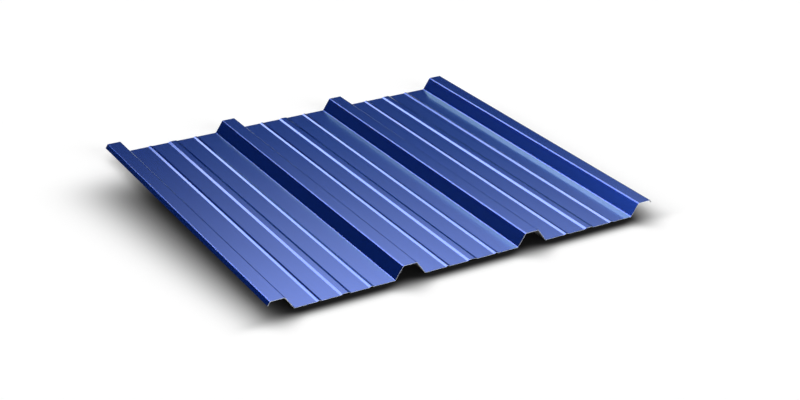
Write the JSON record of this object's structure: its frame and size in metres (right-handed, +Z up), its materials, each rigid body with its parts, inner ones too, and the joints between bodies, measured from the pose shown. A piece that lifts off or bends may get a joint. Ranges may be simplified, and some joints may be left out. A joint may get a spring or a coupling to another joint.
{
  "type": "exposed fastener metal roofing panel",
  "caption": "Roll-formed coated steel sheet with tall trapezoid ribs and low stiffening ribs between them, screwed through its face to purlins as roof or wall cladding.",
  "frame": {"origin": "the middle of the sheet's footprint, on the underside of its pans", "axes": "+X across the ribs, +Y along the ribs, +Z up through the painted side"},
  "size_m": [0.9582, 0.9144, 0.0298],
  "materials": {
    "coated_steel": "semi-gloss blue coil coating, with a pale grey backer coat underneath"
  },
  "bodies": {
    "root": {"ribbed_sheet": "coated_steel"}
  },
  "joints": []
}
